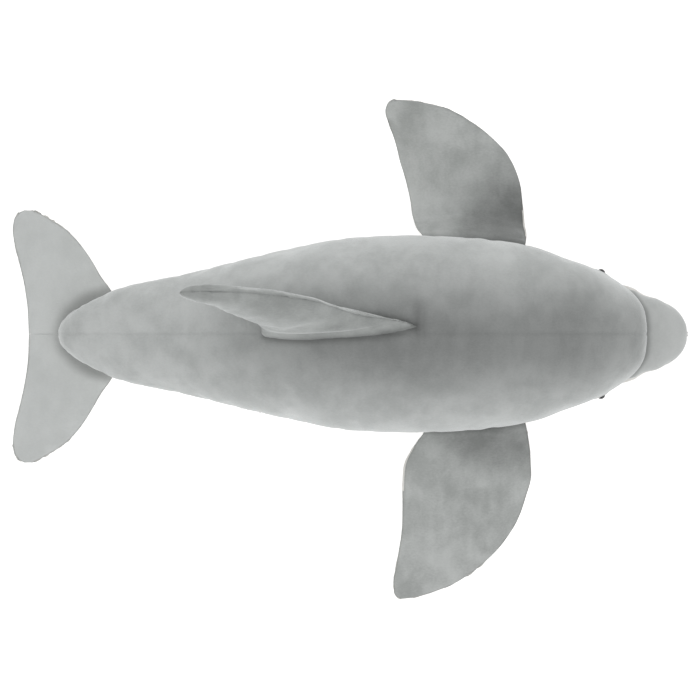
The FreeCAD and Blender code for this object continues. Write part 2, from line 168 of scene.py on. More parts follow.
# Rows: height along the fin, x of the rear edge, x of the front edge, thickness.
DORSAL = [
    (0.0, -129.0, 85.0, 7.0),
    (12.0, -129.5, 63.0, 24.0),
    (27.0, -134.0, 27.0, 34.0),
    (52.0, -157.0, -6.0, 35.0),
    (74.0, -176.0, -29.0, 33.0),
    (92.0, -191.0, -54.0, 31.0),
    (108.0, -206.0, -84.0, 29.0),
    (122.0, -223.0, -118.0, 26.0),
    (135.0, -241.0, -154.0, 25.0),
    (145.0, -246.5, -197.0, 21.0),
    (150.0, -246.0, -228.0, 13.0),
]

# Rows: y, x of the trailing edge, x of the leading edge, thickness.
FLUKE = [
    (0.0, -476.0, -340.0, 30.0),
    (32.0, -477.0, -343.0, 30.0),
    (62.0, -480.5, -352.0, 28.0),
    (86.0, -485.0, -369.0, 26.0),
    (110.0, -491.0, -383.0, 24.0),
    (134.0, -497.0, -399.0, 21.0),
    (157.0, -499.5, -420.0, 17.0),
    (172.0, -498.0, -442.0, 13.5),
    (182.0, -492.0, -460.0, 10.0),
    (187.0, -484.0, -471.0, 7.0),
]
FLUKE_SPREAD = {LEFT: 0.985, RIGHT: 1.02}
FLUKE_MID_Z = 15.5      # height of the fluke's middle plane as far as the lobes' hinge lines
FLUKE_TIP_Z = 8.5       # and at the tips
FLAP_Y = 62.0           # the hinge line of a fluke lobe
BEND_X = -285.0         # the hinge line of the tail
EYE = (370.5, 89.5, 108.0)      # the left eye
FLOOR_ROOM = 0.4        # the cloth's lowest point above the floor
FLOOR_BEND = 5.0        # how softly the belly turns into its flat
FLOOR_FADE = 0.02       # how fast that fades above the floor

# ---- cloth ------------------------------------------------------------------------------------
FRAMES = 20
PRESSURE = 4.0          # of the filling on the cloth
SPARE_CLOTH = -0.015    # negative shrink: the panels are cut a little larger than their shape
SWELL_CAP = 3.0         # the most that a point may move in the simulation
STILL = 1e-9            # a move in metres that is too small to count
GIVE = 0.4              # the most that a point may sink, so that two panels never cross
HELD_BELOW = 3.0        # the belly is held below this height
SEAM_OUTSET = 1.3       # a fin's edge before its seam is pulled in
SLIM = 1.6              # how much smaller than its final shape a part starts
CROWN_FLAT = 2.3        # how flat a fin's section is in its middle
CROWN_ROUND = 0.85      # how round it is at its edges
SLOPE_STEPS = 4         # straight steps between two stations of a pectoral fin

# ---- sewing -----------------------------------------------------------------------------------
CONTACT_REACH = 6.0     # how far the shade beside another part's cloth reaches
SEAM_SHADE_REACH = 2.2  # how far a seam's own shade reaches
GATHER_SCALE = 95.0     # gathers beside a seam, per metre
LUMPS = ((13.0, 1.0), (34.0, 0.45))     # the filling's lumps: scale per metre, share
SINK_SHARE = 0.3        # the most of the part's thickness that a point may sink
ON_SEAM = 0.5           # a point this close to a seam is on it
SEAM_CALM = 2.5         # the gathers are weak this close to a seam
JUST_INSIDE = 0.05      # where the ray that measures a part's thickness starts
FLAT_BELOW = 6.0        # the belly keeps its flat below this height
BACK_FROM = 150.0       # heights above this belong to the back
CREASE_DEPTH = 1.8      # creases across the back in front of the dorsal fin
CREASE_SPACING = 13.0
ROOT_Y = 8.0            # the middle of the dorsal fin's root
ROOT_FADE = 8.0         # how softly the gathers beside that root end


def vec(x, y, z):
    return np.array((x, y, z), float)


def unit(v):
    return v / np.linalg.norm(v)


def curve_through(rows, at):
    """Smooth values of a station table's columns at the places asked, with no overshoot."""
    table = np.array(rows, float)
    x, y = table[:, 0], table[:, 1:]
    h = np.diff(x)[:, None]
    d = np.diff(y, axis=0) / h
    slope = np.vstack((d[:1], np.zeros_like(d[1:]), d[-1:]))
    before, after = d[:-1], d[1:]
    same = before * after > 0
    total = np.where(same, before + after, 1.0)
    slope[1:-1] = np.where(same, 2.0 * before * after / total, 0.0)
    at = np.clip(np.atleast_1d(np.asarray(at, float)), x[0], x[-1])
    k = np.clip(np.searchsorted(x, at, side="right") - 1, 0, len(x) - 2)
    t = ((at - x[k]) / h[k, 0])[:, None]
    step = h[k]
    return ((2 * t**3 - 3 * t**2 + 1) * y[k] + (t**3 - 2 * t**2 + t) * step * slope[k]
            + (3 * t**2 - 2 * t**3) * y[k + 1] + (t**3 - t**2) * step * slope[k + 1])


def straight(rows, at):
    """The value at a place, along straight lines between a table's rows."""
    table = np.array(rows, float)
    return float(np.interp(at, table[:, 0], table[:, 1]))


def bulge(value, exponent):
    """A power that keeps the sign."""
    return math.copysign(abs(value) ** exponent, value)


# ---- meshes -----------------------------------------------------------------------------------
def make_mesh(name, points, faces, panels):
    """A mesh object in metres from points in millimetres; panels gives each face's panel number."""
    mesh = bpy.data.meshes.new(name)
    mesh.from_pydata([tuple(p * MM) for p in points], [], faces)
    mesh.polygons.foreach_set("material_index", panels)
    obj = bpy.data.objects.new(name, mesh)
    bpy.context.scene.collection.objects.link(obj)
    for number in range(max(panels) + 1):
        mesh.materials.append(bpy.data.materials.get("blank") or bpy.data.materials.new("blank"))
    bm = bmesh.new()
    bm.from_mesh(mesh)
    bmesh.ops.remove_doubles(bm, verts=bm.verts, dist=0.02 * MM)
    bmesh.ops.recalc_face_normals(bm, faces=bm.faces)
    if bm.calc_volume(signed=True) < 0:
        bmesh.ops.reverse_faces(bm, faces=bm.faces)
    bm.to_mesh(mesh)
    bm.free()
    return obj


def rest_on_floor(z):
    """The height of a point of the belly, which turns softly into the flat that it rests on."""
    bent = 0.5 * (z + math.sqrt(z * z + FLOOR_BEND**2))
    lower = 0.5 * FLOOR_BEND / (1.0 + FLOOR_FADE * max(z, 0.0) ** 2)
    return max(bent + FLOOR_ROOM - lower, FLOOR_ROOM)


def tube_rings(rows, seams, xs, around, slim, floor):
    """Rings of a tube. seams(x, middle, bottom) gives the turns, in degrees, where panels meet."""
    rings = []
    for x, (half_width, top, bottom) in zip(xs, curve_through(rows, xs)):
        middle = bottom + WIDEST_SHARE * (top - bottom)
        half_width -= min(slim, 0.3 * half_width)
        top -= slim
        bottom += slim
        ring = []
        turns = seams(x, middle, bottom)
        for (start, end), count in zip(zip(turns, turns[1:]), around):
            for k in range(count):
                turn = math.radians(start + (end - start) * k / count)
                across = bulge(math.cos(turn), 2.0 / FULLNESS) * half_width
                up = bulge(math.sin(turn), 2.0 / FULLNESS)
                z = middle + up * (top - middle if up >= 0 else middle - bottom)
                ring.append(vec(x, across, rest_on_floor(z) if floor else z))
        rings.append(ring)
    return rings


def tube_object(name, rings, around):
    """A closed tube: quads between rings, and a fan to a point at each end."""
    count = len(rings[0])
    points = [p for ring in rings for p in ring]
    owner = [panel for panel, n in enumerate(around) for _ in range(n)]
    faces, panels = [], []
    for i in range(len(rings) - 1):
        for j in range(count):
            a, b = i * count + j, i * count + (j + 1) % count
            faces.append((a, b, b + count, a + count))
            panels.append(owner[j])
    for i, push in ((0, -1.0), (len(rings) - 1, 1.0)):
        tip = np.mean(rings[i], axis=0) + vec(push, 0, 0)
        points.append(tip)
        for j in range(count):
            faces.append((i * count + j, i * count + (j + 1) % count, len(points) - 1))
            panels.append(owner[j])
    return make_mesh(name, points, faces, panels)


def comes_round(rolled, section, column, across):
    """Whether a face on the face side belongs to the panel behind, which comes round the edge."""
    if not rolled or not rolled[0] <= section <= rolled[1]:
        return False
    depth = 1 if min(section - rolled[0], rolled[1] - section) < 2 else 2
    return (across - 1 - column if rolled[2] else column) < depth


def pillow_object(name, sections, across, fuller=1.0, rolled=None):
    """A stuffed fin from lens sections: panel 0 on the face side, fuller by a factor, panel 1 behind.

    rolled is (first section, last section, at the leading edge): there panel 1 comes round the edge.
    """
    points, faces, panels = [], [], []
    for side in (1, -1):
        first = len(points)
        for origin, chord, face, start, end, thick in sections:
            for k in range(across + 1):
                u = 0.5 - 0.5 * math.cos(math.pi * k / across)
                crown = (1.0 - abs(2.0 * u - 1.0) ** CROWN_FLAT) ** CROWN_ROUND
                at = start - SEAM_OUTSET + u * (end - start + 2.0 * SEAM_OUTSET)
                rise = 0.5 * thick * crown * (fuller if side > 0 else -1.0)
                points.append(origin + chord * at + face * rise)
        for i in range(len(sections) - 1):
            for k in range(across):
                a = first + i * (across + 1) + k
                faces.append((a, a + 1, a + across + 2, a + across + 1))
                panels.append(0 if side > 0 and not comes_round(rolled, i, k, across) else 1)
    return make_mesh(name, points, faces, panels)


# ---- the parts --------------------------------------------------------------------------------
def spaced(low, high, count, ends):
    """Places from low to high, closer together at both ends; ends is 0 for even spacing."""
    t = np.linspace(0.0, 1.0, count)
    return low + (high - low) * ((1.0 - ends) * t + ends * (0.5 - 0.5 * np.cos(np.pi * t)))


def body_seams(x, middle, bottom):
    """The spine seam on top and the side seams: turns from the left side, in degrees."""
    seam_z = curve_through(SIDE_SEAM, x)[0][0]
    drop = (middle - seam_z) / (middle - bottom)
    turn = -math.degrees(math.asin(min(0.985, max(0.0, drop)) ** (0.5 * FULLNESS)))
    return [90.0, turn, -180.0 - turn, -270.0]


def beak_seams(x, middle, bottom):
    """The mouth line on the right side and on the left, and on the right again."""
    mouth_z = curve_through(MOUTH, x)[0][0]
    reach = middle - bottom
    if mouth_z >= middle:
        reach *= (1.0 - WIDEST_SHARE) / WIDEST_SHARE
    share = min(0.97, abs(mouth_z - middle) / reach)
    turn = math.copysign(math.degrees(math.asin(share ** (0.5 * FULLNESS))), mouth_z - middle)
    return [180.0 - turn, turn, -180.0 - turn]


def hung(outward, slope):
    """The directions along a fin and off its face, where it slopes down by some degrees."""
    slope = math.radians(slope)
    up = vec(0, 0, 1)
    along = outward * math.cos(slope) - up * math.sin(slope)
    return along, up * math.cos(slope) + outward * math.sin(slope)


def tip_ring(section, outwards, step, narrower):
    """A last ring with no thickness, just past a fin's last station."""
    origin, chord, face, start, end, _ = section
    return (origin + outwards * step, chord, face, start + narrower, end - narrower, 0.0)


def pectoral_sections(side):
    """Lens sections: origin, chord, face, start and end along the chord, thickness."""
    rear, front = (vec(x, side * y, z) for x, y, z in (PECTORAL_REAR, PECTORAL_FRONT))
    chord = unit(front - rear)
    outward = unit(np.cross(vec(0, 0, 1), chord)) * side
    along, face = hung(outward, DROOP[side][0][1])
    sections = [(rear - outward * depth, chord, face, start, end, thick)
                for depth, start, end, thick in PECTORAL_INSIDE]
    place = rear + along * FIN_START
    stations = spaced(0.0, PECTORAL[side][-1][0], count=44, ends=0.25)
    done = 0.0
    for distance, (trailing, leading, thick) in zip(stations, curve_through(PECTORAL[side], stations)):
        step = (distance - done) / SLOPE_STEPS
        for k in range(SLOPE_STEPS):
            along = hung(outward, straight(DROOP[side], done + step * (k + 0.5)))[0]
            place = place + along * step
        done = distance
        normal = hung(outward, straight(DROOP[side], distance))[1]
        turn = math.radians(straight(TURN_UP[side], distance))
        turned = chord * math.cos(turn) + normal * math.sin(turn)
        face = normal * math.cos(turn) - chord * math.sin(turn)
        if distance < PECTORAL_ROOT_REACH:
            thick = max(thick, PECTORAL_ROOT_THICK)
        sections.append((place + chord * trailing, turned, face, 0.0, leading - trailing,
                         thick - SLIM))
    outwards = unit(sections[-1][0] - sections[-3][0])
    return sections + [tip_ring(sections[-1], outwards, step=2.0, narrower=3.5)]


def dorsal_axes():
    """The directions along the dorsal fin's root, up the fin, and off its left side."""
    along = unit(vec(*DORSAL_FRONT) - vec(*DORSAL_REAR))
    left = unit(np.cross(vec(0, 0, 1), along))
    plumb = np.cross(along, left)
    lean = math.radians(DORSAL_LEAN)
    rise = plumb * math.cos(lean) + left * math.sin(lean)
    return along, rise, np.cross(rise, along)


def dorsal_sections():
    along, rise, face = dorsal_axes()
    rear = vec(*DORSAL_REAR)
    sections = [(rear - rise * depth, along, face, start, end, thick)
                for depth, start, end, thick in DORSAL_INSIDE]
    stations = spaced(0.0, DORSAL[-1][0], count=40, ends=0.2)
    for height, (low, high, thick) in zip(stations, curve_through(DORSAL, stations)):
        if height < DORSAL_ROOT_REACH:
            thick = max(thick, DORSAL_ROOT_THICK - DORSAL_ROOT_TAPER * height)
        foot = rear + rise * (FIN_START + height)
        sections.append((foot, along, face, low - foot[0], high - foot[0], thick - SLIM))
    return sections + [tip_ring(sections[-1], rise, step=1.5, narrower=3.0)]


def fluke_sections(side):
    sections = []
    stations = spaced(0.0, FLUKE[-1][0], count=54, ends=0.5)
    for y, (trailing, leading, thick) in zip(stations, curve_through(FLUKE, stations)):
        share = max(0.0, y - FLAP_Y) / (FLUKE[-1][0] - FLAP_Y)
        z = FLUKE_MID_Z + share * (FLUKE_TIP_Z - FLUKE_MID_Z)
        place = vec(0, side * y * FLUKE_SPREAD[side], z)
        sections.append((place, vec(1, 0, 0), vec(0, 0, 1), trailing, leading, thick - SLIM))
    return sections + [tip_ring(sections[-1], vec(0, side, 0), step=1.5, narrower=3.0)]


# ---- inflating --------------------------------------------------------------------------------
def seam_edges(obj):
    """Edges where two panels meet, and open edges."""
    faces_at = {}
    for polygon in obj.data.polygons:
        for key in polygon.edge_keys:
            faces_at.setdefault(key, []).append(polygon.material_index)
    shared = [key for key, owners in faces_at.items() if len(set(owners)) > 1]
    opened = [key for key, owners in faces_at.items() if len(owners) == 1]
    return shared, opened


def add_cloth(obj, rests):
    """Cloth under pressure from inside, held at its seams, its open edges and where it rests."""
    shared, opened = seam_edges(obj)
    held = {k for key in shared + opened for k in key}
    if rests:
        held |= {v.index for v in obj.data.vertices if v.co.z < HELD_BELOW * MM}
    group = obj.vertex_groups.new(name="held")
    group.add(sorted(held), 1.0, "REPLACE")
    cloth = obj.modifiers.new("Cloth", "CLOTH")
    cloth.settings.quality = 5
    cloth.settings.mass = 0.3
    cloth.settings.tension_stiffness = 20
    cloth.settings.compression_stiffness = 10
    cloth.settings.bending_stiffness = 0.4
    cloth.settings.vertex_group_mass = "held"
    cloth.settings.use_pressure = True
    cloth.settings.uniform_pressure_force = PRESSURE
    cloth.settings.shrink_min = SPARE_CLOTH
    cloth.settings.effector_weights.gravity = 0.0
    cloth.collision_settings.use_collision = False
    cloth.point_cache.frame_start = 1
    cloth.point_cache.frame_end = FRAMES


def inflate(parts):
    """Runs the cloth of every part together, then keeps each part's new shape and drops its Cloth."""
    start = {obj.name: np.array([v.co for v in obj.data.vertices]) for obj in parts}
    normals = {obj.name: np.array([v.normal for v in obj.data.vertices]) for obj in parts}
    for obj in parts:
        add_cloth(obj, obj.name == "body")
    for number in range(1, FRAMES + 1):
        bpy.context.scene.frame_set(number)
    graph = bpy.context.evaluated_depsgraph_get()
    for obj in parts:
        settled = obj.evaluated_get(graph).to_mesh()
        now = np.array([v.co for v in settled.vertices])
        move = now - start[obj.name]
        outward = normals[obj.name]
        inward = np.minimum(0.0, (move * outward).sum(axis=1, keepdims=True) + GIVE * MM)
        move = move - outward * inward
        size = np.maximum(np.linalg.norm(move, axis=1, keepdims=True), STILL)
        cap = SWELL_CAP * MM
        move = move * (np.tanh(size / cap) * cap / size)
        for vertex, point in zip(obj.data.vertices, start[obj.name] + move):
            vertex.co = point
        obj.modifiers.clear()
        obj.vertex_groups.clear()
    bpy.context.scene.frame_set(1)


def refine(obj, levels):
    """Subdivides once the shape is settled."""
    modifier = obj.modifiers.new("Smooth", "SUBSURF")
    modifier.levels = levels
    modifier.boundary_smooth = "PRESERVE_CORNERS"
    graph = bpy.context.evaluated_depsgraph_get()
    mesh = bpy.data.meshes.new_from_object(obj.evaluated_get(graph))
    obj.modifiers.clear()
    obj.data = mesh


# ---- sewing detail ----------------------------------------------------------------------------
def wave(a, b, seed):
    return noise.noise(Vector((a, b, seed)))


def ripple(point):
    """Gathers in the cloth, which differ from place to place along a seam."""
    at = point * GATHER_SCALE
    return wave(at.x, at.y, at.z + 3.0) + 0.6 * wave(2.0 * at.x, 2.0 * at.y, 7.0)


def sew(obj, groove, width, pucker, reach, lumps, shade=0.55, extra=None, flat_belly=False):
    """Pulls the seams in, gathers the cloth beside them, and adds the filling's soft lumps.

    The mesh gets a painted_shade value at each point: painted shade along the seams, which the plush
    material paints darker. extra(point) adds to how far a point moves outwards, in millimetres.
    """
    shared, _ = seam_edges(obj)
    mesh = obj.data
    along = sorted({k for key in shared for k in key})
    tree = kdtree.KDTree(len(along))
    for k in along:
        tree.insert(mesh.vertices[k].co, k)
    tree.balance()
    skin = BVHTree.FromPolygons([v.co for v in mesh.vertices], [p.vertices for p in mesh.polygons])
    normals = [v.normal.copy() for v in mesh.vertices]
    # Each point's painted shade: darker along the seams and, later, between parts.
    creases = mesh.attributes.new("painted_shade", "FLOAT", "POINT").data
    moved = []
    for vertex, normal in zip(mesh.vertices, normals):
        point = vertex.co
        near, _, away = tree.find(point)
        away /= MM
        # Painted shade along the seam.
        creases[vertex.index].value = shade * math.exp(-((away / SEAM_SHADE_REACH) ** 2))
        push = -groove * math.exp(-((away / width) ** 2))
        pull = math.exp(-away / reach) * (1.0 - 0.85 * math.exp(-((away / SEAM_CALM) ** 2)))
        push += pucker * pull * ripple(near)
        push += lumps * sum(share * noise.noise(point * scale) for scale, share in LUMPS)
        if extra:
            push += extra(point)
        if away > ON_SEAM:
            through = skin.ray_cast(point - normal * (JUST_INSIDE * MM), -normal)[3]
            push = max(push, -SINK_SHARE * through / MM) if through else push
        moved.append(point + normal * (push * MM))
    for vertex, point in zip(mesh.vertices, moved):
        if flat_belly and point.z < FLAT_BELOW * MM:
            point.z = vertex.co.z
        point.z = max(point.z, FLOOR_ROOM * MM)
        vertex.co = point


def shade_contacts(parts):
    """Raises each part's painted_shade value where the cloth of another part lies close: painted shade
    between parts.
    """
    skins = {}
    for part in parts:
        mesh = part.data
        skins[part.name] = BVHTree.FromPolygons([v.co for v in mesh.vertices],
                                                [p.vertices for p in mesh.polygons])
    for part in parts:
        values = part.data.attributes["painted_shade"].data
        for name, skin in skins.items():
            if name.split(".")[0] == part.name.split(".")[0]:
                continue
            for vertex in part.data.vertices:
                away = skin.find_nearest(vertex.co, 3.0 * CONTACT_REACH * MM)[3]
                if away is not None:
                    shade = math.exp(-((away / (CONTACT_REACH * MM)) ** 2))
                    values[vertex.index].value = max(values[vertex.index].value, shade)


def fade_in(distance):
    """From 0 well before a place to 1 well past it."""
    return 1.0 / (1.0 + math.exp(-distance / ROOT_FADE))


def pulled_at_dorsal(point):
    """Short creases across the back in front of the dorsal fin, and gathers along its root."""
    x, y = point.x / MM, point.y / MM
    if point.z < BACK_FROM * MM:
        return 0.0
    ahead, aside = x - DORSAL_FRONT[0] - 10.0, y - DORSAL_FRONT[1] + 2.0
    window = math.exp(-((ahead / 13.0) ** 2) - (aside / 24.0) ** 2)
    creases = CREASE_DEPTH * math.cos(2.0 * math.pi * (x + 0.05 * abs(y)) / CREASE_SPACING)
    beside = math.exp(-(((y - ROOT_Y) / 26.0) ** 2))
    beside *= fade_in(x - DORSAL_REAR[0] - 3.0) * fade_in(DORSAL_FRONT[0] + 4.0 - x)
    gathers = beside * 0.9 * wave(x / 9.0, y / 30.0, 11.0)
    return window * (creases - 1.5) + gathers


def around_eye(point):
    """The eye's washer pulls the cloth in, so the cloth stands up in a low ring round the eye."""
    away = (Vector((point.x, abs(point.y), point.z)) / MM - Vector(EYE)).length
    return 1.5 * math.exp(-(((away - 7.5) / 5.0) ** 2))


def body_extra(point):
    return pulled_at_dorsal(point) + around_eye(point)


def split_panels(obj, names):
    """Replaces a part by one object for each of its panels."""
    pieces = []
    for number, name in enumerate(names):
        bm = bmesh.new()
        bm.from_mesh(obj.data)
        bmesh.ops.delete(bm, geom=[f for f in bm.faces if f.material_index != number], context="FACES")
        for face in bm.faces:
            face.material_index = 0
            face.smooth = True
        mesh = bpy.data.meshes.new(name)
        bm.to_mesh(mesh)
        bm.free()
        piece = bpy.data.objects.new(name, mesh)
        bpy.context.scene.collection.objects.link(piece)
        pieces.append(piece)
    bpy.data.objects.remove(obj)
    return pieces


# ---- materials --------------------------------------------------------------------------------
MIX_A, MIX_B = 6, 7     # the mix node's two colour sockets, which share their names with others
MIX_RESULT = 2
# The colour that painted shade along seams and between parts mixes in.
PAINTED_SHADE_COLOUR = (0.10, 0.105, 0.10)


class Shader:
    """Short names for building one node tree."""

    def __init__(self, name):
        self.material = bpy.data.materials.new(name)
        self.material.use_nodes = True
        self.tree = self.material.node_tree
        self.surface = self.tree.nodes["Principled BSDF"]
        self.place = self.tree.nodes.new("ShaderNodeTexCoord").outputs["Object"]

    def link(self, a, b):
        self.tree.links.new(a, b)

    def noise(self, scale, detail, stretch=(1, 1, 1), distortion=0.0):
        mapping = self.tree.nodes.new("ShaderNodeMapping")
        mapping.inputs["Scale"].default_value = stretch
        self.link(self.place, mapping.inputs["Vector"])
        node = self.tree.nodes.new("ShaderNodeTexNoise")
        node.inputs["Scale"].default_value = scale
        node.inputs["Detail"].default_value = detail
        node.inputs["Distortion"].default_value = distortion
        self.link(mapping.outputs["Vector"], node.inputs["Vector"])
        return node.outputs["Fac"]

    def span(self, value, low, high, to_low=0.0, to_high=1.0):
        """A value between low and high, eased and spread over another range."""
        node = self.tree.nodes.new("ShaderNodeMapRange")
        node.interpolation_type = "SMOOTHSTEP"
        for key, number in (("From Min", low), ("From Max", high), ("To Min", to_low), ("To Max", to_high)):
            node.inputs[key].default_value = number
        self.link(value, node.inputs["Value"])
        return node.outputs["Result"]

    def math(self, operation, a, b):
        node = self.tree.nodes.new("ShaderNodeMath")
        node.operation = operation
        for socket, value in zip(node.inputs, (a, b)):
            if isinstance(value, (int, float)):
                socket.default_value = value
            else:
                self.link(value, socket)
        return node.outputs["Value"]

    def away_from(self, centre, squash=(1, 1, 1)):
        """Distance from a point, in metres, with each axis scaled."""
        offset = self.tree.nodes.new("ShaderNodeVectorMath")
        offset.operation = "SUBTRACT"
        offset.inputs[1].default_value = centre
        self.link(self.place, offset.inputs[0])
        scaled = self.tree.nodes.new("ShaderNodeVectorMath")
        scaled.operation = "MULTIPLY"
        scaled.inputs[1].default_value = squash
        self.link(offset.outputs["Vector"], scaled.inputs[0])
        length = self.tree.nodes.new("ShaderNodeVectorMath")
        length.operation = "LENGTH"
        self.link(scaled.outputs["Vector"], length.inputs[0])
        return length.outputs["Value"]

    def mix(self, factor, a, b, blend="MIX"):
        node = self.tree.nodes.new("ShaderNodeMix")
        node.data_type = "RGBA"
        node.blend_type = blend
        self.link(factor, node.inputs["Factor"])
        for key, value in ((MIX_A, a), (MIX_B, b)):
            if isinstance(value, tuple):
                node.inputs[key].default_value = value + (1.0,)
            else:
                self.link(value, node.inputs[key])
        return node.outputs[MIX_RESULT]

    def bump(self, layers):
        """Bumps stacked on each other: (height, depth in metres, strength)."""
        last = None
        for height, depth, strength in layers:
            node = self.tree.nodes.new("ShaderNodeBump")
            node.inputs["Distance"].default_value = depth
            node.inputs["Strength"].default_value = strength
            self.link(height, node.inputs["Height"])
            if last:
                self.link(last, node.inputs["Normal"])
            last = node.outputs["Normal"]
        self.link(last, self.surface.inputs["Normal"])

    def colour(self, value):
        """Drives the surface's colour by a node."""
        self.link(value, self.surface.inputs["Base Color"])


def plush(name, deep, pale, mottle, shades=(), painted_shade_strength=0.5):
    """Short brushed pile: patches where the nap lies differently, tufts, and single fibres.

    mottle is the patches' share against that of the brush strokes. The mesh's painted_shade value paints
    shade along seams and between parts. shades are regions of painted shade, in metres: (centre, axis
    scales, inner radius, outer radius, brightness inside).
    """
    shader = Shader(name)
    patches = shader.span(shader.noise(16.0, 2.0, distortion=0.25), 0.20, 0.80)
    strokes = shader.noise(60.0, 3.0, stretch=(1.0, 0.55, 1.0), distortion=0.25)
    tufts = shader.noise(420.0, 2.0, stretch=(0.6, 1.0, 1.0))
    fibres = shader.noise(1500.0, 1.0, stretch=(0.5, 1.0, 1.0))
    nap = shader.math("ADD", shader.math("MULTIPLY", patches, mottle),
                      shader.math("MULTIPLY", strokes, 1.0 - mottle))
    nap = shader.math("ADD", shader.math("MULTIPLY", nap, 0.72),
                      shader.math("MULTIPLY", tufts, 0.28))
    colour = shader.mix(shader.span(nap, 0.22, 0.78), deep, pale)
    # Painted shade along the seams and between parts, read from the mesh's painted_shade value.
    painted_shade = shader.tree.nodes.new("ShaderNodeAttribute")
    painted_shade.attribute_name = "painted_shade"
    darkened = shader.math("MULTIPLY", painted_shade.outputs["Fac"], painted_shade_strength)
    colour = shader.mix(darkened, colour, PAINTED_SHADE_COLOUR)
    # Painted shade in the regions given.
    for centre, scales, inner, outer, brightness in shades:
        near = shader.span(shader.away_from(centre, scales), inner, outer, 1.0, 0.0)
        colour = shader.mix(near, colour, (brightness,) * 3, "MULTIPLY")
    shader.colour(colour)
    shader.bump([(strokes, 0.0010, 0.35), (tufts, 0.0007, 0.40), (fibres, 0.0004, 0.5)])
    shader.surface.inputs["Roughness"].default_value = 0.95
    shader.surface.inputs["Specular IOR Level"].default_value = 0.12
    shader.surface.inputs["Sheen Weight"].default_value = 0.8
    shader.surface.inputs["Sheen Roughness"].default_value = 0.4
    shader.surface.inputs["Sheen Tint"].default_value = (0.93, 0.95, 0.95, 1.0)
    return shader.material


def thread_material():
    shader = Shader("sewing_thread")
    twist = shader.noise(900.0, 2.0, stretch=(1.0, 1.0, 0.3))
    shader.colour(shader.mix(twist, (0.22, 0.23, 0.23), (0.42, 0.43, 0.43)))
    shader.bump([(twist, 0.0003, 0.8)])
    shader.surface.inputs["Roughness"].default_value = 0.7
    shader.surface.inputs["Sheen Weight"].default_value = 0.2
    return shader.material


def eye_material():
    shader = Shader("eye_gloss_black")
    smudge = shader.noise(260.0, 3.0)
    shader.colour(shader.mix(smudge, (0.004, 0.004, 0.005), (0.009, 0.009, 0.010)))
    shader.link(shader.span(smudge, 0.3, 0.8, 0.04, 0.09), shader.surface.inputs["Roughness"])
    shader.surface.inputs["Coat Weight"].default_value = 0.6
    shader.surface.inputs["Coat Roughness"].default_value = 0.03
    return shader.material


def plastic_material():
    shader = Shader("washer_plastic")
    grain = shader.noise(700.0, 3.0)
    shader.colour(shader.mix(grain, (0.72, 0.71, 0.68), (0.82, 0.81, 0.78)))
    shader.bump([(grain, 0.0002, 0.3)])
    shader.surface.inputs["Roughness"].default_value = 0.5
    return shader.material


def label_material():
    shader = Shader("label_ribbon")
    weft = shader.noise(2200.0, 1.0, stretch=(0.15, 1.0, 1.0))
    shader.colour(shader.mix(weft, (0.70, 0.69, 0.66), (0.86, 0.85, 0.82)))
    shader.bump([(weft, 0.0002, 0.6)])
    shader.surface.inputs["Roughness"].default_value = 0.6
    shader.surface.inputs["Sheen Weight"].default_value = 0.15
    return shader.material


# Regions of painted shade, which darken the colour: the top of the back, the creases in front of the dorsal
# fin, the head's top, the melon's front, the pectoral fins' roots and the fluke round the tail cone.
BACK_SHADE = ((0.110, -0.010, 0.240), (0.30, 1.10, 0.75), 0.01, 0.155, 0.49)
PULL_SHADE = ((0.100, 0.022, 0.245), (1.5, 0.55, 0.0), 0.002, 0.024, 0.82)
HEAD_SHADE = ((0.340, 0.0, 0.190), (1.0, 1.0, 1.0), 0.03, 0.13, 0.78)
MELON_SHADE = ((0.430, 0.0, 0.120), (1.0, 0.9, 1.0), 0.025, 0.085, 0.74)
FIN_FOOT_SHADE = ((0.260, 0.150, 0.070), (1.0, 1.0, 0.6), 0.03, 0.15, 0.47)
FIN_ROOT_SHADE = ((0.230, -0.150, 0.060), (0.6, 1.2, 0.6), 0.02, 0.10, 0.60)
FLUKE_SHADE = ((-0.340, 0.0, 0.0), (0.75, 1.0, 0.0), 0.062, 0.080, 0.64)
grey = plush("grey_plush", (0.415, 0.430, 0.423), (0.540, 0.556, 0.549), 0.5,
             (BACK_SHADE, PULL_SHADE, HEAD_SHADE, MELON_SHADE))
fin_grey = plush("grey_plush_fins", (0.345, 0.359, 0.350), (0.525, 0.542, 0.532), 0.5,
                 (FIN_FOOT_SHADE, FIN_ROOT_SHADE))
# The same grey cloth, painted darker on the dorsal fin: painted shade.
dorsal_grey_shaded = plush("grey_plush_dorsal_shaded", (0.285, 0.297, 0.290), (0.415, 0.430, 0.422), 0.5)
# The same grey cloth, painted lighter on the fluke because its flat top faces the light.
fluke_grey_lit = plush("grey_plush_fluke", (0.530, 0.548, 0.540), (0.600, 0.618, 0.610), 0.5,
                   (FLUKE_SHADE,))
beak_grey = plush("grey_plush_beak", (0.46, 0.474, 0.467), (0.53, 0.544, 0.537), 0.4)
white = plush("white_plush", (0.70, 0.69, 0.66), (0.82, 0.81, 0.78), 0.4, painted_shade_strength=0.2)

# ---- build ------------------------------------------------------------------------------------
BODY_AROUND = (26, 30, 26)      # points round each panel
BEAK_AROUND = (22, 26)
BEAK_SLIM = 0.8

# Where a pectoral fin's white underside comes round: first section, last one, at the leading edge.
WHITE_RIM = {LEFT: (4, 16, True), RIGHT: (4, 19, False)}

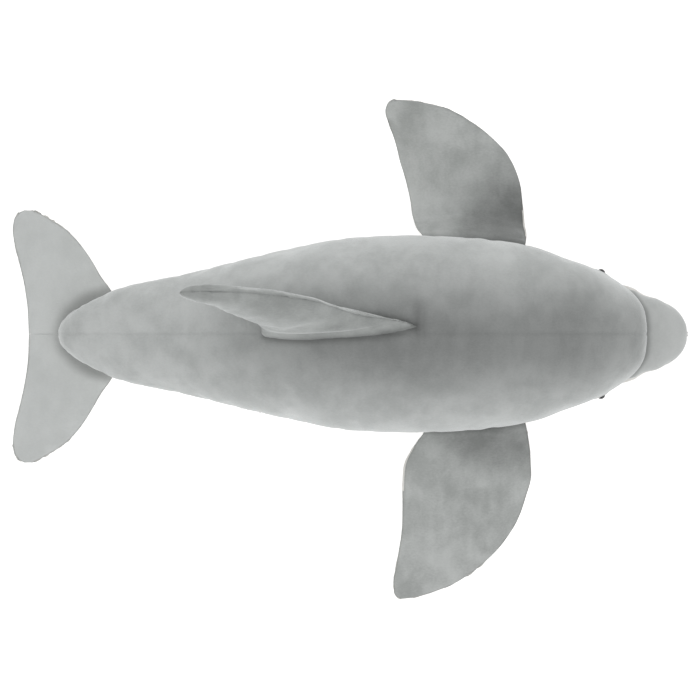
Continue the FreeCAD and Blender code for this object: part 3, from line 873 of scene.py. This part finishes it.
body_places = spaced(BODY[0][0], BODY[-1][0], count=150, ends=0.45)
body_rings = tube_rings(BODY, body_seams, body_places, BODY_AROUND, SLIM, True)
body = tube_object("body", body_rings, BODY_AROUND)
beak_places = spaced(BEAK[0][0], BEAK[-1][0], count=40, ends=0.5)
beak_rings = tube_rings(BEAK, beak_seams, beak_places, BEAK_AROUND, BEAK_SLIM, False)
beak = tube_object("beak", beak_rings, BEAK_AROUND)
dorsal = pillow_object("dorsal", dorsal_sections(), 26, fuller=1.35)
fins = {side: pillow_object("pectoral", pectoral_sections(side), 26, rolled=WHITE_RIM[side])
        for side in (LEFT, RIGHT)}
flukes = {side: pillow_object("fluke", fluke_sections(side), 24) for side in (LEFT, RIGHT)}

stuffed = [body, beak, dorsal, *fins.values(), *flukes.values()]
inflate(stuffed)
for part in stuffed:
    refine(part, 2 if part is beak else 1)

sew(body, groove=1.6, width=3.6, pucker=0.6, reach=14.0, lumps=0.5, shade=0.12, extra=body_extra,
    flat_belly=True)
sew(beak, groove=1.6, width=3.0, pucker=0.5, reach=9.0, lumps=0.5)
sew(dorsal, groove=0.9, width=3.0, pucker=1.6, reach=13.0, lumps=0.8)
sew(fins[LEFT], groove=0.9, width=3.0, pucker=1.2, reach=16.0, lumps=1.4)
sew(fins[RIGHT], groove=0.9, width=3.0, pucker=0.8, reach=14.0, lumps=1.0)
for half in flukes.values():
    sew(half, groove=0.9, width=3.0, pucker=0.7, reach=12.0, lumps=0.8)
# Painted shade where parts lie close to each other.
shade_contacts(stuffed)


def finish_piece(piece, material, nodes):
    """Gives a piece its material, and hides the CAD nodes that it stands for."""
    piece.data.materials.clear()
    piece.data.materials.append(material)
    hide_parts(*nodes)


# Where the cloth would start to bend at each hinge, and where it would have turned all the way; blend is
# given these but does not use them.
BEND_Z = 90.0
BEND_AHEAD = 55.0
BEND_BEHIND = 45.0
PECTORAL_SOFT = 30.0
DORSAL_SUNK = 2.0
DORSAL_SOFT = 26.0
FLAP_X = -420.0
FLAP_Z = 20.0
FLAP_INSIDE = 22.0
FLAP_OUTSIDE = 24.0


def blend(pieces, still, moving, start, end):
    """Bakes each piece's placement into its mesh. still, moving, start and end are not used."""
    for piece in pieces:
        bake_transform(piece)


back_left, belly, back_right = split_panels(body, ("back_left", "belly", "back_right"))
finish_piece(back_left, grey, ("back_panel_left", "tail_panel_left"))
finish_piece(back_right, grey, ("back_panel_right", "tail_panel_right"))
finish_piece(belly, white,
             ("belly_panel", "tail_belly_panel", "trunk_stuffing", "tail_stuffing"))
blend((back_left, back_right, belly), "trunk", "tail",
      vec(BEND_X + BEND_AHEAD, 0, BEND_Z), vec(BEND_X - BEND_BEHIND, 0, BEND_Z))

beak_top, beak_jaw = split_panels(beak, ("beak_top", "beak_jaw"))
finish_piece(beak_top, beak_grey, ("beak_upper_panel", "beak_stuffing"))
finish_piece(beak_jaw, white, ("beak_lower_panel",))
for piece in (beak_top, beak_jaw):
    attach(piece, "trunk")

for side, word in SIDES:
    fin = "pectoral_" + word
    top, underside = split_panels(fins[side], (fin, "pectoral_white_" + word))
    finish_piece(top, fin_grey,
                 ("pectoral_top_" + word, "pectoral_stuffing_" + word, "pectoral_root_seam_" + word))
    finish_piece(underside, white, ("pectoral_underside_" + word,))
    root = 0.5 * (vec(*PECTORAL_REAR) + vec(*PECTORAL_FRONT)) * vec(1, side, 1)
    along = hung(vec(0, side, 0), DROOP[side][0][1])[0]
    blend((top, underside), "trunk", fin, root, root + along * PECTORAL_SOFT)

dorsal_left, dorsal_right = split_panels(dorsal, ("dorsal_left", "dorsal_right"))
finish_piece(dorsal_left, dorsal_grey_shaded,
             ("dorsal_panel_left", "dorsal_stuffing", "dorsal_root_seam"))
finish_piece(dorsal_right, dorsal_grey_shaded, ("dorsal_panel_right",))
root = 0.5 * (vec(*DORSAL_REAR) + vec(*DORSAL_FRONT))
rise = dorsal_axes()[1]
blend((dorsal_left, dorsal_right), "trunk", "dorsal",
      root - rise * DORSAL_SUNK, root + rise * DORSAL_SOFT)

for side, word in SIDES:
    lobe = "fluke_lobe_" + word
    top, underside = split_panels(flukes[side], ("fluke_" + word, "fluke_white_" + word))
    finish_piece(top, fluke_grey_lit,
                 (lobe + "_top", lobe + "_stuffing", "fluke_centre_top", "fluke_centre_stuffing"))
    finish_piece(underside, white,
                 (lobe + "_underside", "fluke_centre_underside"))
    blend((top, underside), "tail", lobe,
          vec(FLAP_X, side * (FLAP_Y - FLAP_INSIDE), FLAP_Z),
          vec(FLAP_X, side * (FLAP_Y + FLAP_OUTSIDE), FLAP_Z))

for names, material in ((("eye_left", "eye_right"), eye_material()),
                        (("eye_washer_left", "eye_washer_right"), plastic_material()),
                        (("closing_stitches",), thread_material()),
                        (("care_label",), label_material())):
    for name in names:
        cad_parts[name].data.materials.clear()
        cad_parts[name].data.materials.append(material)

# ---- stage, light and camera ------------------------------------------------------------------
VIEW_CENTRE = Vector((0.0007, -0.0236, 0.08))
VIEW_WIDTH = 1.034          # what the picture shows at that height
CAMERA_ABOVE = 12.0         # from there to the camera
FLOOR_DROP = 0.0004         # keeps the floor clear of the belly's flat
bpy.ops.mesh.primitive_plane_add(size=30.0, location=(0, 0, -FLOOR_DROP))
ground = bpy.context.object
ground.name = "floor"
backdrop = Shader("pale_floor")
backdrop.surface.inputs["Base Color"].default_value = (0.93, 0.93, 0.93, 1.0)
backdrop.surface.inputs["Roughness"].default_value = 0.9
backdrop.surface.inputs["Specular IOR Level"].default_value = 0.0
backdrop.surface.inputs["Emission Color"].default_value = (1.0, 1.0, 1.0, 1.0)
backdrop.surface.inputs["Emission Strength"].default_value = 0.45
ground.data.materials.append(backdrop.material)

world = bpy.data.worlds.new("soft_sky")
world.use_nodes = True
world.node_tree.nodes["Background"].inputs["Color"].default_value = (1.0, 1.0, 1.0, 1.0)
world.node_tree.nodes["Background"].inputs["Strength"].default_value = 0.80
bpy.context.scene.world = world


def softbox(name, place, size, power):
    light = bpy.data.lights.new(name, "AREA")
    light.shape = "SQUARE"
    light.size = size
    light.energy = power
    obj = bpy.data.objects.new(name, light)
    obj.location = place
    obj.rotation_euler = (-Vector(place)).to_track_quat("-Z", "Y").to_euler()
    bpy.context.scene.collection.objects.link(obj)


softbox("overhead", (0.2, -0.5, 2.8), size=2.8, power=8.0)

camera = bpy.data.cameras.new("camera")
camera.sensor_width = 36.0
camera.lens = camera.sensor_width * CAMERA_ABOVE / VIEW_WIDTH
camera_object = bpy.data.objects.new("camera", camera)
camera_object.location = VIEW_CENTRE + Vector((0.0, 0.0, CAMERA_ABOVE))
bpy.context.scene.collection.objects.link(camera_object)
bpy.context.scene.camera = camera_object
bpy.context.scene.view_settings.view_transform = "Standard"
